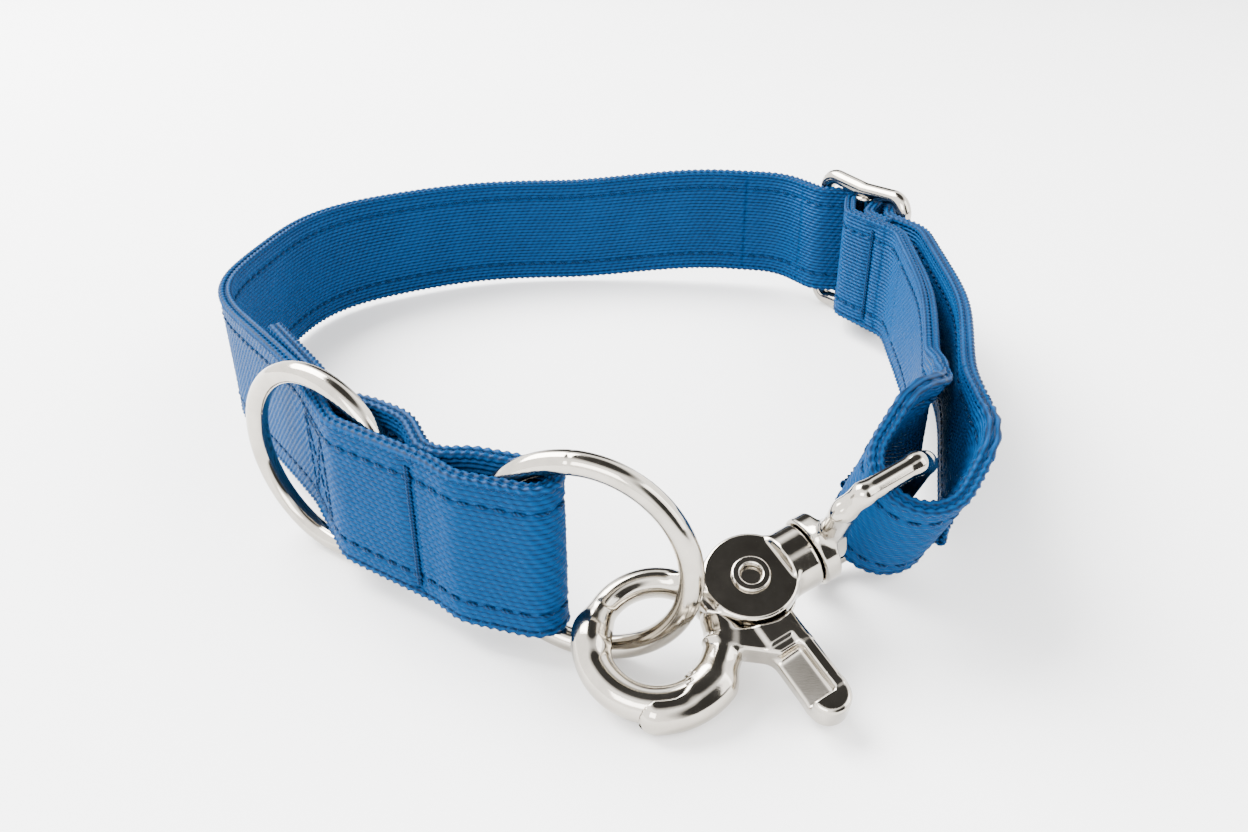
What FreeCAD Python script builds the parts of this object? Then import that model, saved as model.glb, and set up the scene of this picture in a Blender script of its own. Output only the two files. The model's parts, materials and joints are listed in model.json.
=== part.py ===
"""Webbing collar with a trigger snap: a parametric FreeCAD document, written out as one STEP file per piece.

Millimetres. +Z is up and z = 0 is the surface that the collar stands on; the origin is the middle of the
neck opening on that surface. X runs across the neck, and the closure faces -Y.
One long strap of two sewn plies makes the whole collar. Followed from its hidden end it runs inside the
front, folds round the end ring, goes outside round the neck, weaves through the slide, passes through the
swivel eye, and comes back inside to be sewn round the slide's middle bar. It always turns clockwise seen
from above, so the face ply is always on the left of that direction and the lining ply on its right.
"""
import FreeCAD, Part
import math
import os

from FreeCAD import Placement, Rotation, Vector
import Sketcher

os.makedirs("parts", exist_ok=True)
doc = FreeCAD.newDocument("collar")

# ---------------------------------------------------------------- driving dimensions
SIZES = {
    # webbing
    "webbing_width": 25.4,
    "ply_thickness": 1.2,
    "ply_gap": 0.05,
    "webbing_base": 4.5,
    "thread": 0.45,
    "stitch_inset": 4.0,
    # the two welded rings
    "ring_headroom": 1.05,
    "ring_wire": 3.5,
    "ring_slack": 0.25,
    "ring_lift": 0.3,
    # the slide
    "slide_wire": 3.4,
    "slide_pitch": 12.2,
    "slide_headroom": 0.35,
    "slide_corner": 3.2,
    "slide_wave": 0.9,
    "bar_slack": 0.15,
    "bar_clearance": 0.3,
    # the swivel eye
    "eye_wire": 3.2,
    "eye_slack": 0.35,
    "eye_fold_radius": 6.8,
    "eye_headroom": 0.6,
    "eye_reach": 27.3,
    "eye_near": 13.4,
    "eye_corner": 2.8,
    "eye_base_radius": 5.3,
    # the snap
    "disc_radius": 6.8,
    "body_height": 6.6,
    "cheek": 2.0,
    "barrel_radius": 4.9,
    "barrel_start": 5.2,
    "barrel_end": 9.5,
    "swivel_gap": 0.3,
    "post_radius": 2.0,
    "post_head": 3.2,
    "hook_lead": 6.4,
    "hook_radius": 9.3,
    "hook_wire": 5.2,
    "arm_wire": 4.2,
    "jaw_wire": 5.6,
    "cradle_wire": 6.2,
    "cradle_shift": 1.3,
    "gate_gap": 0.15,
    "lever_length": 22.3,
    "lever_width": 5.8,
    "lever_depth": 5.2,
    "rib_width": 1.9,
    "rib_height": 1.7,
    "rivet_radius": 1.6,
    "rivet_head": 2.8,
    "rivet_rise": 0.6,
    "spring_radius": 2.7,
    "spring_wire": 0.7,
}
sheet = doc.addObject("Spreadsheet::Sheet", "sizes")
for row, (name, value) in enumerate(SIZES.items(), start=1):
    sheet.set("A%d" % row, name)
    sheet.set("B%d" % row, str(value))
    sheet.setAlias("B%d" % row, name)
doc.recompute()


def size(name):
    """The value of one named cell of the sheet."""
    return float(sheet.get(name))


# ---------------------------------------------------------------- where the pieces stand
STRAP = 2 * size("ply_thickness") + size("ply_gap")
LAYER = STRAP + size("ply_gap")
BASE = size("webbing_base")
MIDDLE = BASE + size("webbing_width") / 2
# The rings are as large as the webbing that passes through them needs.
RING_SIZE = "sizes.webbing_width / 2 + sizes.ring_headroom + sizes.ring_wire / 2"
RING_RADIUS = size("webbing_width") / 2 + size("ring_headroom") + size("ring_wire") / 2
RING_HEIGHT = RING_RADIUS + size("ring_wire") / 2

END_RING = Vector(2.4, -71.0, RING_HEIGHT)
END_RING_TURN = 162.0
LEASH_RING = Vector(-39.5, -46.7, RING_HEIGHT + size("ring_lift"))
LEASH_RING_TURN = 146.0
SLIDE = Vector(63.2, 46.7, MIDDLE)
SLIDE_TURN = -57.0
RIVET = Vector(26.0, -69.0, 10.9)
STEM_TURN = 27.9
STEM_RISE = 14.2
SNAP_ROLL = 20.0
EYE_ROLL = 30.0


def direction(turn):
    """Unit vector in plan at an angle from +X."""
    return Vector(math.cos(math.radians(turn)), math.sin(math.radians(turn)), 0)


def beside(origin, turn, ahead, left):
    """Plan point at a distance ahead of an origin, and to the left of its direction."""
    step = direction(turn) * ahead + direction(turn + 90) * left
    return (origin.x + step.x, origin.y + step.y)


def stem_placement(roll):
    """Frame on the stem's axis: x towards the eye, z up out of the snap's face, at a roll about the stem."""
    turn = Rotation(Vector(0, 0, 1), STEM_TURN)
    rise = Rotation(Vector(0, 1, 0), -STEM_RISE)
    return Placement(RIVET, turn.multiply(rise).multiply(Rotation(Vector(1, 0, 0), roll)))


SNAP_PLACE = stem_placement(SNAP_ROLL)
EYE_PLACE = stem_placement(EYE_ROLL)


# ---------------------------------------------------------------- strap paths
TOUCHING = 1e-4
LEFT_STRAIGHT = 0.95


def bend_radii(points, corners, turns):
    """The radius of each bend; two bends that need more than the run between them tighten to fit it."""
    needs = [0.0]
    for corner, turn in zip(corners[1:], turns):
        needs.append(corner[2] * math.tan(abs(turn) / 2))
    needs.append(0.0)
    fits = []
    for start, finish, before, after in zip(points, points[1:], needs, needs[1:]):
        room = (finish - start).Length
        tight = before + after > room + TOUCHING
        fits.append(LEFT_STRAIGHT * room / (before + after) if tight else 1.0)
    return [corner[2] * min(one, other) for corner, one, other in zip(corners[1:], fits, fits[1:])]


def rounded(corners):
    """Straight runs and tangent arcs of a path: corners are (x, y) or (x, y, radius)."""
    points = [Vector(corner[0], corner[1], 0) for corner in corners]
    ways = [(finish - start).normalize() for start, finish in zip(points, points[1:])]
    turns = [math.atan2(into.x * out.y - into.y * out.x, into.dot(out)) for into, out in zip(ways, ways[1:])]
    pieces = []
    here = points[0]
    radii = bend_radii(points, corners, turns)
    for middle, into, out, turn, radius in zip(points[1:], ways, ways[1:], turns, radii):
        reach = radius * math.tan(abs(turn) / 2)
        start = middle - into * reach
        side = math.copysign(1, turn)
        centre = start + Vector(-into.y, into.x, 0) * (side * radius)
        if (start - here).Length > TOUCHING:
            pieces.append(("line", here, start))
        pieces.append(("arc", centre, radius, math.atan2(start.y - centre.y, start.x - centre.x), turn))
        here = middle + out * reach
    pieces.append(("line", here, points[-1]))
    return pieces


def offset_points(pieces, left):
    """The pieces of a path, moved sideways to its left."""
    made = []
    for piece in pieces:
        if piece[0] == "line":
            along = (piece[2] - piece[1]).normalize()
            side = Vector(-along.y, along.x, 0) * left
            made.append(("line", piece[1] + side, piece[2] + side))
        else:
            _, centre, radius, angle, turn = piece
            grown = radius - left * math.copysign(1, turn)
            made.append(("arc", centre, grown, angle, turn))
    return made


def arc_geometry(centre, radius, angle, turn):
    low, high = (angle, angle + turn) if turn > 0 else (angle + turn, angle)
    return Part.ArcOfCircle(Part.Circle(centre, Vector(0, 0, 1), radius), low, high)


def outline(corners, right, left):
    """Closed outline of a strip that follows a path, between two sideways distances."""
    pieces = rounded(corners)
    edges = []
    ends = []
    for side in (left, right):
        moved = offset_points(pieces, side)
        ends.append((moved[0][1], moved[-1][2]))
        for piece in moved:
            if piece[0] == "line":
                edges.append(Part.LineSegment(piece[1], piece[2]))
            else:
                edges.append(arc_geometry(*piece[1:]))
    edges.append(Part.LineSegment(ends[0][0], ends[1][0]))
    edges.append(Part.LineSegment(ends[0][1], ends[1][1]))
    return edges


# ---------------------------------------------------------------- document helpers
NODES = []


def node(piece, label, placement=None):
    """Name a finished sub-part and set where it stands."""
    piece.Label = label
    if placement is not None:
        piece.Placement = placement
    NODES.append(piece)
    return piece


def plane_of(body, role):
    for feature in body.Origin.OriginFeatures:
        if feature.Role == role:
            return feature


def sketch_on(body, name, edges, role="XY_Plane"):
    sketch = body.newObject("Sketcher::SketchObject", name)
    sketch.AttachmentSupport = [(plane_of(body, role), "")]
    sketch.MapMode = "FlatFace"
    sketch.addGeometry(edges, False)
    return sketch


def padded_body(label, edges, height, placement, midplane=False):
    """A body with one padded sketch; height is an expression on the sheet."""
    body = doc.addObject("PartDesign::Body", "body_" + label)
    sketch = sketch_on(body, "sketch_" + label, edges)
    pad = body.newObject("PartDesign::Pad", "pad_" + label)
    pad.Profile = sketch
    pad.setExpression("Length", height)
    pad.Midplane = midplane
    return node(body, label, placement)


STANDING = Placement(Vector(0, 0, BASE), Rotation())


def plies(label, corners, layer=0, placement=STANDING, midplane=False):
    """The face ply and the lining ply of one stretch of strap, beside a path."""
    middle = layer * LAYER
    half = size("ply_gap") / 2
    thick = size("ply_thickness")
    width = "sizes.webbing_width"
    padded_body(label + "_face", outline(corners, middle + half, middle + half + thick), width,
                placement, midplane)
    padded_body(label + "_lining", outline(corners, middle - half - thick, middle - half), width,
                placement, midplane)


# ---------------------------------------------------------------- the strap's route
# Distances to the middle of the strap: from a ring's plane, and from the plane of the slide's wire. PINCH is
# how far ahead of the leash ring the front seam pinches the layers together.
POCKET = size("ring_wire") / 2 + size("ring_slack") + STRAP / 2
OUTSIDE = POCKET + 0.4
PINCH = -25.0
DIP = -(size("slide_wire") / 2 + size("bar_clearance") + STRAP / 2)
WRAP = size("slide_wire") / 2 + size("bar_slack") + STRAP / 2
HUMP = WRAP + STRAP + size("bar_clearance")
TAIL = DIP - LAYER - size("bar_slack")
RETURN = TAIL - LAYER
CROSSING = size("slide_pitch") + 4.0


def by_leash_ring(ahead, out, *radius):
    """Plan point beside the leash ring: ahead along its plane, away from the closure, and out of the neck."""
    return beside(LEASH_RING, LEASH_RING_TURN, ahead, out) + radius


def by_end_ring(ahead, out, *radius):
    """Plan point beside the end ring, measured the same way."""
    return beside(END_RING, END_RING_TURN, ahead, out) + radius


def by_slide(ahead, out, *radius):
    """Plan point beside the slide's middle bar: ahead towards the eye, and out of the neck."""
    return beside(SLIDE, SLIDE_TURN, ahead, out) + radius


def toward(start, finish, distance):
    """Plan point at a distance from start on the line to finish."""
    step = Vector(finish[0] - start[0], finish[1] - start[1], 0).normalize() * distance
    return (start[0] + step.x, start[1] + step.y)


def around_bar(first, second):
    """Corner, in the slide's frame, of two lines that touch the wrap round the middle bar at two angles."""
    reach = WRAP / math.cos(math.radians(first - second) / 2)
    middle = math.radians(first + second) / 2
    return by_slide(reach * math.cos(middle), reach * math.sin(middle), WRAP)


# The band passes outside the leash ring's hidden side and inside its free side.
ring_side = by_leash_ring(-7.6, OUTSIDE, 6.0)
free_side = by_leash_ring(7.4, -POCKET - 1.0, 6.0)
left_corner = (-72.5, 3.0, 25.0)
back_left_corner = (-64.5, 49.0, 30.0)
back_corner = (-30.0, 68.0, 60.0)
back_right_corner = (20.0, 70.0, 150.0)
slide_corner = by_slide(-24.0, DIP, 12.0)
band_end = toward(slide_corner, back_right_corner, 9.0)

between_sides = toward(ring_side, free_side, math.dist(ring_side[:2], free_side[:2]) / 2)
flap_end = toward(free_side, left_corner, 20.0)

plies("neck_band", [by_leash_ring(PINCH, OUTSIDE), ring_side, free_side, left_corner,
                    back_left_corner, back_corner, back_right_corner, band_end])
plies("flap", [flap_end, free_side, between_sides], layer=1)

# Behind the leash ring the doubled-back layer leaves room for the ring's hidden side.
sewn = OUTSIDE - LAYER
run_in = Vector(ring_side[0] - free_side[0], ring_side[1] - free_side[1], 0).normalize()
inward = Vector(-run_in.y, run_in.x, 0) * LAYER
channel_start = (between_sides[0] + inward.x, between_sides[1] + inward.y)
channel_turn = (channel_start[0] + run_in.x * 1.4, channel_start[1] + run_in.y * 1.4, 2.4)
room = -POCKET - 0.5
plies("channel", [channel_start, channel_turn, by_leash_ring(-6.5, room, 4.0),
                  by_leash_ring(-RING_RADIUS - 0.9, room, 5.0),
                  by_leash_ring(PINCH + 2.0, sewn, 2.0), by_leash_ring(PINCH, sewn)])

# The fold that holds the end ring.
fold_in = RING_RADIUS + 2.0
fold_tip = 3.8
plies("ring_fold", [by_leash_ring(PINCH, sewn), by_leash_ring(PINCH - 2.0, sewn, 4.0),
                    by_end_ring(fold_in, -POCKET, 6.0), by_end_ring(fold_tip, -POCKET, POCKET),
                    by_end_ring(fold_tip, POCKET, POCKET), by_end_ring(fold_in, POCKET, 6.0),
                    by_leash_ring(PINCH - 2.0, OUTSIDE, 4.0), by_leash_ring(PINCH, OUTSIDE)])

# Through the slide: inside both end bars and outside the wrapped middle bar.
bend = size("slide_pitch") - 1.3
crest = 3.0
plies("slide_approach", [band_end, slide_corner, by_slide(-CROSSING, DIP)])
plies("slide_crossing", [by_slide(-CROSSING, DIP), by_slide(-bend, DIP, -DIP), by_slide(-crest, HUMP, 5.0),
                         by_slide(crest, HUMP, 5.0), by_slide(bend, DIP, -DIP), by_slide(CROSSING, DIP)])
outer_corner = by_slide(CROSSING + 4.5, DIP, 12.0)
outer_bend = (70.4, -10.0, 60.0)
outer_end = (62.8, -38.5)
outer_start = toward(outer_corner, outer_bend, 9.0)
plies("slide_exit", [by_slide(CROSSING, DIP), outer_corner, outer_start])
plies("outer_run", [outer_start, outer_bend, outer_end])

# The inner layer comes back from the eye, and wraps the slide's middle bar.
inner_end = (58.6, -33.5)
inner_bend = (64.8, -6.0, 60.0)
inner_corner = by_slide(CROSSING + 3.0, RETURN, 9.0)
inner_finish = toward(inner_corner, inner_bend, 9.0)
plies("inner_run", [inner_end, inner_bend, inner_finish])
plies("slide_return", [inner_finish, inner_corner, by_slide(CROSSING, RETURN)])
lap = WRAP / math.cos(math.radians(30)) - TAIL * math.tan(math.radians(30))
plies("slide_fold", [by_slide(CROSSING, RETURN), by_slide(-WRAP * math.sqrt(2) - RETURN, RETURN, 3.0),
                     around_bar(225, 135), around_bar(135, 30), by_slide(lap, TAIL, 3.5),
                     by_slide(CROSSING - 2.5, TAIL)])

# The fold in the swivel eye stands at the eye's own tilt.
BAR = Vector(size("eye_reach"), 0, 0)
EYE_FOLD = max(size("eye_fold_radius"), size("eye_wire") / 2 + size("eye_slack") + STRAP / 2)
LEG_TURN = 24.0
LEG = 5.5


def by_eye_bar(ahead, out, *radius):
    """Point in the eye's own plan: ahead of its end bar along the strap, and out of the neck."""
    return beside(BAR, LEG_TURN, ahead, -out) + radius


plies("eye_fold", [by_eye_bar(LEG, EYE_FOLD), by_eye_bar(-EYE_FOLD, EYE_FOLD, EYE_FOLD),
                   by_eye_bar(-EYE_FOLD, -EYE_FOLD, EYE_FOLD), by_eye_bar(LEG, -EYE_FOLD)],
      placement=EYE_PLACE, midplane=True)


def end_face(point, heading, up, near, far):
    """Cross-section of one ply, square to its heading, between two distances to its left."""
    left = up.cross(heading).normalize()
    rise = up * (size("webbing_width") / 2)
    corners = [point + left * near - rise, point + left * far - rise,
               point + left * far + rise, point + left * near + rise]
    return Part.makePolygon(corners + corners[:1])


def twisted_plies(label, run_end, run_heading, leg_side, into_eye):
    """The stretch of both plies that twists from upright to the eye's tilt."""
    up = Vector(0, 0, 1)
    leg_point = EYE_PLACE.multVec(Vector(*by_eye_bar(LEG, leg_side * EYE_FOLD), 0))
    leg_ahead = EYE_PLACE.Rotation.multVec(direction(LEG_TURN))
    leg_up = EYE_PLACE.Rotation.multVec(up)
    run_point = Vector(run_end[0], run_end[1], MIDDLE)
    half = size("ply_gap") / 2
    thick = size("ply_thickness")
    for ply, near, far in (("_face", half, half + thick), ("_lining", -half - thick, -half)):
        faces = [end_face(run_point, run_heading, up, near, far),
                 end_face(leg_point, -leg_ahead if into_eye else leg_ahead, leg_up, near, far)]
        piece = doc.addObject("Part::Feature", "twist_" + label + ply)
        piece.Shape = Part.makeLoft(faces, True, True)
        node(piece, label + ply)


def heading(start, finish):
    return Vector(finish[0] - start[0], finish[1] - start[1], 0).normalize()


twisted_plies("outer_twist", outer_end, heading(outer_bend, outer_end), 1, True)
twisted_plies("inner_twist", inner_end, heading(inner_end, inner_bend), -1, False)


# ---------------------------------------------------------------- sewing thread
THREAD_LIFT = 0.02


def stitch_row(label, corners, height):
    """A row of straight stitching along the outside of the band."""
    face = STRAP / 2
    place = Placement(Vector(0, 0, height), Rotation())
    padded_body(label, outline(corners, face + THREAD_LIFT, face + size("thread")), "sizes.thread", place)


band_row = [by_leash_ring(PINCH + 4.6, OUTSIDE), ring_side, free_side, left_corner,
            back_left_corner, back_corner, back_right_corner, toward(band_end, back_right_corner, 1.0)]
inset = size("stitch_inset")
stitch_row("lower_stitch_row", band_row, BASE + inset)
stitch_row("upper_stitch_row", band_row, BASE + size("webbing_width") - inset - size("thread"))


THREAD_LAP = size("thread") / 2


def thread_bar(name, length, start, finish, place):
    """One run of thread on a strap's face: a square bar between two points of that face."""
    bar = doc.addObject("Part::Box", name)
    rise = math.degrees(math.atan2(finish[1] - start[1], finish[0] - start[0]))
    bar.setExpression("Width", "sizes.thread")
    bar.setExpression("Height", "sizes.thread")
    bar.Length = length + 2 * THREAD_LAP
    flat = Placement(Vector(start[0], 0, start[1]), Rotation(Vector(0, 1, 0), -rise))
    flat = flat.multiply(Placement(Vector(-THREAD_LAP, 0, -THREAD_LAP), Rotation()))
    bar.Placement = place.multiply(flat)
    return bar


def sewn_seam(label, runs, origin, turn):
    """A seam made of straight runs of thread, laid on a strap's outer face at one place."""
    face = Placement(Vector(origin[0], origin[1], MIDDLE), Rotation(Vector(0, 0, 1), turn))
    bars = []
    for number, (start, finish) in enumerate(runs):
        bars.append(thread_bar("%s_%d" % (label, number), math.dist(start, finish), start, finish, face))
    if len(bars) == 1:
        return node(bars[0], label)
    seam = doc.addObject("Part::MultiFuse", "seam_" + label)
    seam.Shapes = bars
    return node(seam, label)


# Half sizes of the two seams, and the number of strokes in a zigzag.
SEAM = size("webbing_width") / 2 - 2.2
SEAM_SWING = 1.4
STROKES = 12
BOX = size("webbing_width") / 2 - size("stitch_inset") - 1.4
BOX_HALF_LENGTH = 4.5
zigzag = [(SEAM_SWING * (-1) ** step, SEAM * (2 * step / STROKES - 1)) for step in range(STROKES + 1)]
cross_box = [(-BOX_HALF_LENGTH, -BOX), (BOX_HALF_LENGTH, -BOX), (BOX_HALF_LENGTH, BOX),
             (-BOX_HALF_LENGTH, BOX)]
slant = math.degrees(math.atan2(run_in.y, run_in.x)) + 180
lift = STRAP / 2 + THREAD_LIFT
outward = Vector(-run_in.y, run_in.x, 0) * -lift
sewn_seam("front_seam", list(zip(zigzag, zigzag[1:])),
          by_leash_ring(PINCH + 1.6, OUTSIDE + lift), LEASH_RING_TURN)
sewn_seam("cross_box_seam", list(zip(cross_box, cross_box[1:] + cross_box[:1]))
          + [(cross_box[0], cross_box[2]), (cross_box[1], cross_box[3])],
          (between_sides[0] + outward.x, between_sides[1] + outward.y), slant)
tail_face = by_slide(CROSSING - 4.0, RETURN - lift)
sewn_seam("slide_seam", list(zip(zigzag, zigzag[1:])), tail_face, SLIDE_TURN + 180)


# ---------------------------------------------------------------- rings and slide
def welded_ring(label, centre, turn):
    ring = doc.addObject("Part::Torus", "ring_" + label)
    ring.setExpression("Radius1", RING_SIZE)
    ring.setExpression("Radius2", "sizes.ring_wire / 2")
    node(ring, label, Placement(centre, Rotation(Vector(0, 0, 1), direction(turn + 90))))


welded_ring("end_ring", END_RING, END_RING_TURN)
welded_ring("leash_ring", LEASH_RING, LEASH_RING_TURN)


def wire_loop(body, name, corners, wire):
    """A closed loop of round wire in the body's XZ plane; the path starts and ends on a straight side."""
    edges = []
    for piece in rounded(corners):
        if piece[0] == "line":
            edges.append(Part.LineSegment(piece[1], piece[2]))
        else:
            edges.append(arc_geometry(*piece[1:]))
    spine = sketch_on(body, name + "_spine", edges, "XZ_Plane")
    circle = Part.Circle(Vector(corners[0][0], 0, 0), Vector(0, 0, 1), size(wire) / 2)
    profile = sketch_on(body, name + "_wire", [circle])
    profile.addConstraint(Sketcher.Constraint("Radius", 0, size(wire) / 2))
    profile.setExpression("Constraints[0]", "sizes.%s / 2" % wire)
    pipe = body.newObject("PartDesign::AdditivePipe", name)
    pipe.Profile = profile
    pipe.Spine = spine
    return pipe


bars = size("slide_pitch")
rail = size("webbing_width") / 2 + size("slide_headroom") + size("slide_wire") / 2
crown = rail + size("slide_wave")
corner = size("slide_corner")
frame_body = doc.addObject("PartDesign::Body", "frame_body")
wire_loop(frame_body, "frame_loop", [
    (bars, 0), (bars, crown, corner), (0, rail, 6.0), (-bars, crown, corner),
    (-bars, -crown, corner), (0, -rail, 6.0), (bars, -crown, corner), (bars, 0)], "slide_wire")
SLIDE_PLACE = Placement(SLIDE, Rotation(Vector(0, 0, 1), SLIDE_TURN))
node(frame_body, "slide_frame", SLIDE_PLACE)

middle_bar = doc.addObject("Part::Cylinder", "middle_bar")
middle_bar.setExpression("Radius", "sizes.slide_wire / 2")
middle_bar.setExpression("Height", "sizes.webbing_width + 2 * sizes.slide_headroom")
node(middle_bar, "slide_bar", Placement(SLIDE - Vector(0, 0, rail - size("slide_wire") / 2), Rotation()))


# ---------------------------------------------------------------- swivel eye
def turned(body, name, points, axis):
    """A turned solid: points are (distance along the axis, radius), closed back along the axis."""
    if axis == "X_Axis":
        corners = [Vector(along, radius, 0) for along, radius in points]
    else:
        corners = [Vector(radius, along, 0) for along, radius in points]
    edges = [Part.LineSegment(a, b) for a, b in zip(corners, corners[1:] + corners[:1])]
    sketch = sketch_on(body, name + "_profile", edges, "XZ_Plane")
    solid = body.newObject("PartDesign::Revolution", name)
    solid.Profile = sketch
    for feature in body.Origin.OriginFeatures:
        if feature.Role == axis:
            solid.ReferenceAxis = (feature, [""])
    solid.Angle = 360
    return solid


near = size("eye_near")
reach = size("eye_reach")
tall = size("webbing_width") / 2 + size("eye_headroom") + size("eye_wire") / 2
bow = size("eye_corner")
foot = size("barrel_end") + size("swivel_gap")
base = size("eye_base_radius")
eye_body = doc.addObject("PartDesign::Body", "eye_body")
wire_loop(eye_body, "eye_loop", [(reach, 0), (reach, tall, bow), (near, tall, bow), (near, -tall, bow),
                                 (reach, -tall, bow), (reach, 0)], "eye_wire")
turned(eye_body, "eye_base", [(foot, 0), (foot, base - 0.4), (foot + 0.4, base), (foot + 1.5, base),
                              (foot + 2.2, base - 0.7), (foot + 3.2, base - 2.2), (near + 1.2, 2.4),
                              (near + 1.2, 0)], "X_Axis")
node(eye_body, "swivel_eye", EYE_PLACE)

post_body = doc.addObject("PartDesign::Body", "post_body")
head_start = size("disc_radius") - 1.2
turned(post_body, "post", [(head_start, 0), (head_start, size("post_head")),
                           (head_start + 1.3, size("post_head")), (head_start + 1.3, size("post_radius")),
                           (foot, size("post_radius")), (foot, 0)], "X_Axis")
node(post_body, "swivel_post", EYE_PLACE)


# ---------------------------------------------------------------- snap body
def cylinder(name, radius, height, placement):
    made = doc.addObject("Part::Cylinder", name)
    made.setExpression("Radius", radius)
    made.setExpression("Height", height)
    made.Placement = placement
    return made


def block(name, low, high):
    made = doc.addObject("Part::Box", name)
    made.Length = high[0] - low[0]
    made.Width = high[1] - low[1]
    made.Height = high[2] - low[2]
    made.Placement = Placement(Vector(*low), Rotation())
    return made


def ring_arc(name, radius, wire, start, finish):
    """Part of a round-wire ring about the hook's centre, between two angles from the stem's axis."""
    arc = doc.addObject("Part::Torus", name)
    arc.setExpression("Radius1", radius)
    arc.setExpression("Radius2", wire)
    arc.Angle3 = finish - start
    arc.setExpression("Placement.Base.x", "-sizes.hook_radius - sizes.hook_lead")
    arc.Placement.Rotation = Rotation(Vector(0, 0, 1), start)
    return arc


def fused(name, parts):
    made = doc.addObject("Part::MultiFuse", name)
    made.Shapes = parts
    return made


def cut(name, base_part, tool):
    made = doc.addObject("Part::Cut", name)
    made.Base = base_part
    made.Tool = tool
    return made


LENGTHWISE = Rotation(Vector(0, 1, 0), 90)
HOOK_ROOT = 12.0
HOOK_TIP = 276.0
HOOK_BELLY = 150.0
half_height = size("body_height") / 2
slot = half_height - size("cheek")
disc = size("disc_radius")
bevel = 0.7

disc_body = doc.addObject("PartDesign::Body", "disc_body")
turned(disc_body, "disc", [(-half_height, 0), (-half_height, disc - bevel), (bevel - half_height, disc),
                           (half_height - bevel, disc), (half_height, disc - bevel),
                           (half_height, 0)], "Z_Axis")
barrel = cylinder("barrel", "sizes.barrel_radius", "sizes.barrel_end - sizes.barrel_start",
                  Placement(Vector(size("barrel_start"), 0, 0), LENGTHWISE))
arm = ring_arc("arm", "sizes.hook_radius - (sizes.hook_wire - sizes.arm_wire) / 2", "sizes.arm_wire / 2",
               HOOK_ROOT, HOOK_BELLY)
hook = ring_arc("hook", "sizes.hook_radius", "sizes.hook_wire / 2", HOOK_BELLY, HOOK_TIP)
solid_body = fused("solid_body", [disc_body, barrel, arm, hook])

low = Vector(0, 0, -slot)
hub_room = cylinder("hub_room", "sizes.disc_radius - 1.7", "sizes.body_height - 2 * sizes.cheek",
                    Placement(low, Rotation()))
side_room = block("side_room", (-disc - 4, -disc - 1, -slot), (disc - 2.6, 0, slot))
rivet_hole = cylinder("rivet_hole", "sizes.rivet_radius + 0.02", "2 * sizes.body_height",
                      Placement(Vector(0, 0, -2 * half_height), Rotation()))
bore = cylinder("bore", "sizes.post_radius + 0.1", "sizes.barrel_end",
                Placement(Vector(head_start, 0, 0), LENGTHWISE))
head_room = cylinder("head_room", "sizes.post_head + 0.15", "1.6",
                     Placement(Vector(head_start - 0.15, 0, 0), LENGTHWISE))
rooms = fused("rooms", [hub_room, side_room, rivet_hole, bore, head_room])
node(cut("snap_cut", solid_body, rooms), "snap_body", SNAP_PLACE)


# ---------------------------------------------------------------- trigger
# Angles of the jaw and of the cradle that wraps the hook's tip, from the stem's axis.
JAW_START = HOOK_TIP + 3.5
JAW_END = 346.0
CRADLE_START = 232.0
CRADLE_LAP = 6.0
# The lever's sides in the snap's frame, and how far down its face the thumb channel starts.
LEVER_SIDE = 2.1
LEVER_ROOT = -5.0
THUMB_START = -9.5

jaw = ring_arc("jaw", "sizes.hook_radius", "sizes.jaw_wire / 2", JAW_START, JAW_END)
cradle = ring_arc("cradle", "sizes.hook_radius + sizes.cradle_shift", "sizes.cradle_wire / 2", CRADLE_START,
                  JAW_START + CRADLE_LAP)
trough = ring_arc("trough", "sizes.hook_radius", "sizes.hook_wire / 2 + sizes.gate_gap",
                  CRADLE_START - CRADLE_LAP, JAW_START)
cradle_cut = cut("cradle_cut", cradle, trough)
width = size("lever_width")
deep = size("lever_depth") / 2
far_side = LEVER_SIDE - width
tip_y = -size("lever_length") + width / 2
lever_bar = block("lever_bar", (far_side, tip_y, -deep), (LEVER_SIDE, LEVER_ROOT, deep))
lever_tip = cylinder("lever_tip", "sizes.lever_width / 2", "sizes.lever_depth",
                     Placement(Vector(LEVER_SIDE - width / 2, tip_y, -deep), Rotation()))
lever_floor = block("lever_floor", (far_side - 2, tip_y, deep - size("rib_height")),
                    (LEVER_SIDE - size("rib_width"), THUMB_START, 2 * deep))
lever = cut("lever", fused("lever_solid", [lever_bar, lever_tip]), lever_floor)
outside = cut("outside", fused("outer_gate", [jaw, cradle_cut, lever]),
              cylinder("disc_room", "sizes.disc_radius + 0.3", "4 * sizes.body_height",
                       Placement(Vector(0, 0, -4 * half_height), Rotation())))
plate_half = slot - size("gate_gap")
hub_plate = cylinder("hub_plate", "sizes.disc_radius - 2",
                     "sizes.body_height - 2 * sizes.cheek - 2 * sizes.gate_gap",
                     Placement(Vector(0, 0, -plate_half), Rotation()))
lever_web = block("lever_web", (far_side + 0.4, -disc - 1.5, -plate_half), (LEVER_SIDE - 0.4, 0, plate_half))
jaw_web = block("jaw_web", (-disc - 1.6, -disc + 0.6, -plate_half), (0, -1.6, plate_half))
gate = fused("gate", [outside, hub_plate, lever_web, jaw_web])
pivot_hole = cylinder("pivot_hole", "sizes.rivet_radius + 0.05", "2 * sizes.body_height",
                      Placement(Vector(0, 0, -2 * half_height), Rotation()))
spring_room = cylinder("spring_room", "sizes.spring_radius + sizes.spring_wire", "sizes.body_height",
                       Placement(Vector(0, 0, plate_half - size("spring_wire") - 0.3), Rotation()))
node(cut("trigger_cut", gate, fused("gate_rooms", [pivot_hole, spring_room])), "trigger", SNAP_PLACE)

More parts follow.
